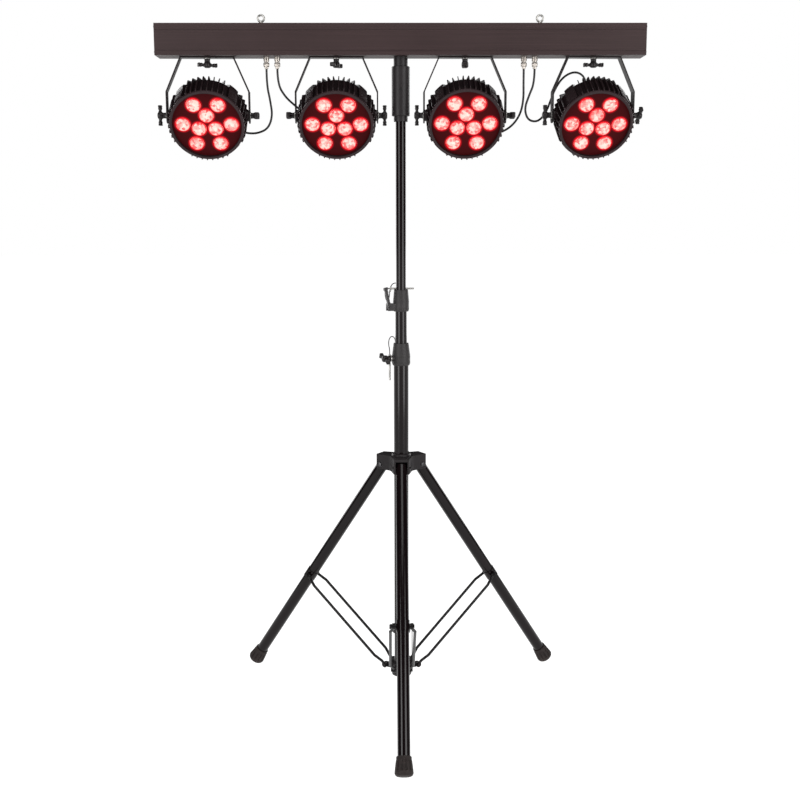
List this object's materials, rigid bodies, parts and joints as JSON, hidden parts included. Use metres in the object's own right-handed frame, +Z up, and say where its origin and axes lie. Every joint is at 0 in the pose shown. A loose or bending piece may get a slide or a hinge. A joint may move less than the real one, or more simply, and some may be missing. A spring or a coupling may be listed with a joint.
{
  "type": "par can light set",
  "caption": "Stage light bar carrying nine-lens LED par cans on yokes, clamped on top of a telescopic tripod stand; every can pans and tilts and the stand folds.",
  "frame": {"origin": "on the mast's axis at floor level", "axes": "+Z up the mast, +X along the bar to the right when facing the lenses' side from the front, -Y towards the side that the cans shine to"},
  "size_m": [1.1222, 0.7074, 1.6409],
  "materials": {
    "bar_metal": "satin powder coat",
    "tube_metal": "semi-gloss enamel",
    "cast_metal": "satin paint",
    "can_metal": "satin powder coat",
    "collar_plastic": "fine texture",
    "knob_plastic": "satin",
    "bright_steel": "zinc plated",
    "nickel": "nickel plated",
    "rod_steel": "dark zinc plated",
    "foot_rubber": "ribbed",
    "cable_rubber": "smooth",
    "plate_plastic": "dark, lit red from behind",
    "lens_plastic": "clear facets over a lit red LED",
    "supply_case": "bare sheet",
    "circuit_board": "solder mask",
    "panel_metal": "satin"
  },
  "bodies": {
    "base": {"base_tube": "tube_metal", "strut_bracket": "cast_metal", "lower_collar": "collar_plastic", "lower_lanyard": "cable_rubber"},
    "hub": {"hub": "cast_metal", "hub_bolts": "bright_steel"},
    "hub_knob": {"hub_knob": "knob_plastic"},
    "lower_knob": {"lower_knob": "knob_plastic"},
    "lower_pin": {"lower_pin": "bright_steel"},
    "middle": {"middle_tube": "tube_metal", "upper_collar": "collar_plastic"},
    "upper_lever": {"upper_lever": "knob_plastic"},
    "upper": {"upper_tube": "tube_metal", "upper_lanyard": "cable_rubber"},
    "upper_pin": {"upper_pin": "bright_steel"},
    "bar": {"bar_housing": "bar_metal", "end_caps": "bar_metal", "mast_socket": "cast_metal", "eye_bolts": "bright_steel", "lead_plugs": "nickel", "power_supply": "supply_case", "controller_board": "circuit_board", "control_panel": "panel_metal"},
    "leg_front": {"leg_front": "tube_metal", "foot_front": "foot_rubber"},
    "struts_front": {"struts_front": "rod_steel"},
    "leg_rear_left": {"leg_rear_left": "tube_metal", "foot_rear_left": "foot_rubber"},
    "struts_rear_left": {"struts_rear_left": "rod_steel"},
    "leg_rear_right": {"leg_rear_right": "tube_metal", "foot_rear_right": "foot_rubber"},
    "struts_rear_right": {"struts_rear_right": "rod_steel"},
    "yoke_1": {"yoke_1": "can_metal", "lead_1": "cable_rubber"},
    "can_1": {"can_housing_1": "can_metal", "lens_plate_1": "plate_plastic", "light_engine_1": "lens_plastic"},
    "pan_knob_1": {"pan_knob_1": "knob_plastic"},
    "tilt_knobs_1": {"tilt_knobs_1": "knob_plastic"},
    "yoke_2": {"yoke_2": "can_metal", "lead_2": "cable_rubber"},
    "can_2": {"can_housing_2": "can_metal", "lens_plate_2": "plate_plastic", "light_engine_2": "lens_plastic"},
    "pan_knob_2": {"pan_knob_2": "knob_plastic"},
    "tilt_knobs_2": {"tilt_knobs_2": "knob_plastic"},
    "yoke_3": {"yoke_3": "can_metal", "lead_3": "cable_rubber"},
    "can_3": {"can_housing_3": "can_metal", "lens_plate_3": "plate_plastic", "light_engine_3": "lens_plastic"},
    "pan_knob_3": {"pan_knob_3": "knob_plastic"},
    "tilt_knobs_3": {"tilt_knobs_3": "knob_plastic"},
    "yoke_4": {"yoke_4": "can_metal", "lead_4": "cable_rubber"},
    "can_4": {"can_housing_4": "can_metal", "lens_plate_4": "plate_plastic", "light_engine_4": "lens_plastic"},
    "pan_knob_4": {"pan_knob_4": "knob_plastic"},
    "tilt_knobs_4": {"tilt_knobs_4": "knob_plastic"}
  },
  "joints": [
    {"name": "hub_slide", "type": "slide", "parent": "base", "child": "hub", "axis": [0, 0, 1], "range_m": [0, 0.1712]},
    {"name": "leg_front_fold", "type": "hinge", "parent": "hub", "child": "leg_front", "pos_m": [0, -0.0489, 0.588], "axis": [1, 0, 0], "range_deg": [-0.1, 31.93]},
    {"name": "struts_front_fold", "type": "hinge", "parent": "base", "child": "struts_front", "pos_m": [0, -0.036, 0.08], "axis": [-1, 0, 0], "range_deg": [-0.1, 43.49]},
    {"name": "leg_rear_left_fold", "type": "hinge", "parent": "hub", "child": "leg_rear_left", "pos_m": [-0.04235, 0.02445, 0.588], "axis": [-0.5, -0.866, 0], "range_deg": [-0.1, 31.93]},
    {"name": "struts_rear_left_fold", "type": "hinge", "parent": "base", "child": "struts_rear_left", "pos_m": [-0.03118, 0.018, 0.08], "axis": [0.5, 0.866, 0], "range_deg": [-0.1, 43.49]},
    {"name": "leg_rear_right_fold", "type": "hinge", "parent": "hub", "child": "leg_rear_right", "pos_m": [0.04235, 0.02445, 0.588], "axis": [-0.5, 0.866, 0], "range_deg": [-0.1, 31.93]},
    {"name": "struts_rear_right_fold", "type": "hinge", "parent": "base", "child": "struts_rear_right", "pos_m": [0.03118, 0.018, 0.08], "axis": [0.5, -0.866, 0], "range_deg": [-0.1, 43.49]},
    {"name": "hub_knob_turn", "type": "hinge", "parent": "hub", "child": "hub_knob", "pos_m": [0, 0.034, 0.599], "axis": [0, 1, 0], "range_deg": [0, 180]},
    {"name": "lower_knob_turn", "type": "hinge", "parent": "base", "child": "lower_knob", "pos_m": [-0.02538, -0.01183, 0.85], "axis": [-0.9063, -0.4226, 0], "range_deg": [0, 180]},
    {"name": "lower_pin_swing", "type": "hinge", "parent": "base", "child": "lower_pin", "pos_m": [-0.02726, 0.00833, 0.857], "axis": [0.2924, 0.9563, 0], "range_deg": [0, 40], "deforming": ["lower_lanyard"]},
    {"name": "middle_slide", "type": "slide", "parent": "base", "child": "middle", "axis": [0, 0, 1], "range_m": [-0.058, 0.56]},
    {"name": "upper_lever_turn", "type": "hinge", "parent": "middle", "child": "upper_lever", "pos_m": [-0.02772, -0.01009, 0.972], "axis": [0.342, -0.9397, 0], "range_deg": [0, 100]},
    {"name": "upper_slide", "type": "slide", "parent": "middle", "child": "upper", "axis": [0, 0, 1], "range_m": [0, 0.17]},
    {"name": "upper_pin_slide", "type": "slide", "parent": "upper", "child": "upper_pin", "axis": [-1, 0, 0], "range_m": [0, 0.06], "deforming": ["upper_lanyard"]},
    {"name": "bar_turn", "type": "hinge", "parent": "upper", "child": "bar", "pos_m": [0, 0, 1.45], "axis": [0, 0, 1], "range_deg": [-180, 180]},
    {"name": "yoke_1_pan", "type": "hinge", "parent": "bar", "child": "yoke_1", "pos_m": [-0.444, 0, 1.415], "axis": [0, 0, 1], "range_deg": [-60, 60], "deforming": ["lead_1"]},
    {"name": "can_1_tilt", "type": "hinge", "parent": "yoke_1", "child": "can_1", "pos_m": [-0.444, 0, 1.415], "axis": [0.9994, 0.0349, 0], "range_deg": [-61.5, 58.5], "deforming": ["lead_1"]},
    {"name": "pan_knob_1_turn", "type": "hinge", "parent": "bar", "child": "pan_knob_1", "pos_m": [-0.444, 0, 1.543], "axis": [0, 0, 1], "range_deg": [0, 180]},
    {"name": "tilt_knobs_1_turn", "type": "hinge", "parent": "can_1", "child": "tilt_knobs_1", "pos_m": [-0.444, 0, 1.415], "axis": [0.9994, 0.0349, 0], "range_deg": [0, 180]},
    {"name": "yoke_2_pan", "type": "hinge", "parent": "bar", "child": "yoke_2", "pos_m": [-0.148, 0, 1.415], "axis": [0, 0, 1], "range_deg": [-60, 60], "deforming": ["lead_2"]},
    {"name": "can_2_tilt", "type": "hinge", "parent": "yoke_2", "child": "can_2", "pos_m": [-0.148, 0, 1.415], "axis": [0.9998, 0.0175, 0], "range_deg": [-62, 58], "deforming": ["lead_2"]},
    {"name": "pan_knob_2_turn", "type": "hinge", "parent": "bar", "child": "pan_knob_2", "pos_m": [-0.148, 0, 1.543], "axis": [0, 0, 1], "range_deg": [0, 180]},
    {"name": "tilt_knobs_2_turn", "type": "hinge", "parent": "can_2", "child": "tilt_knobs_2", "pos_m": [-0.148, 0, 1.415], "axis": [0.9998, 0.0175, 0], "range_deg": [0, 180]},
    {"name": "yoke_3_pan", "type": "hinge", "parent": "bar", "child": "yoke_3", "pos_m": [0.148, 0, 1.415], "axis": [0, 0, 1], "range_deg": [-60, 60], "deforming": ["lead_3"]},
    {"name": "can_3_tilt", "type": "hinge", "parent": "yoke_3", "child": "can_3", "pos_m": [0.148, 0, 1.415], "axis": [0.9998, 0.0175, 0], "range_deg": [-59, 61], "deforming": ["lead_3"]},
    {"name": "pan_knob_3_turn", "type": "hinge", "parent": "bar", "child": "pan_knob_3", "pos_m": [0.148, 0, 1.543], "axis": [0, 0, 1], "range_deg": [0, 180]},
    {"name": "tilt_knobs_3_turn", "type": "hinge", "parent": "can_3", "child": "tilt_knobs_3", "pos_m": [0.148, 0, 1.415], "axis": [0.9998, 0.0175, 0], "range_deg": [0, 180]},
    {"name": "yoke_4_pan", "type": "hinge", "parent": "bar", "child": "yoke_4", "pos_m": [0.444, 0, 1.415], "axis": [0, 0, 1], "range_deg": [-60, 60], "deforming": ["lead_4"]},
    {"name": "can_4_tilt", "type": "hinge", "parent": "yoke_4", "child": "can_4", "pos_m": [0.444, 0, 1.415], "axis": [0.9982, 0.0593, 0], "range_deg": [-61.7, 58.3], "deforming": ["lead_4"]},
    {"name": "pan_knob_4_turn", "type": "hinge", "parent": "bar", "child": "pan_knob_4", "pos_m": [0.444, 0, 1.543], "axis": [0, 0, 1], "range_deg": [0, 180]},
    {"name": "tilt_knobs_4_turn", "type": "hinge", "parent": "can_4", "child": "tilt_knobs_4", "pos_m": [0.444, 0, 1.415], "axis": [0.9982, 0.0593, 0], "range_deg": [0, 180]}
  ],
  "couplings": [
    {"joint": "leg_front_fold", "follows": "hub_slide", "rad_per_m": 3.2351},
    {"joint": "struts_front_fold", "follows": "hub_slide", "rad_per_m": 4.4133},
    {"joint": "leg_rear_left_fold", "follows": "hub_slide", "rad_per_m": 3.2351},
    {"joint": "struts_rear_left_fold", "follows": "hub_slide", "rad_per_m": 4.4133},
    {"joint": "leg_rear_right_fold", "follows": "hub_slide", "rad_per_m": 3.2351},
    {"joint": "struts_rear_right_fold", "follows": "hub_slide", "rad_per_m": 4.4133}
  ]
}
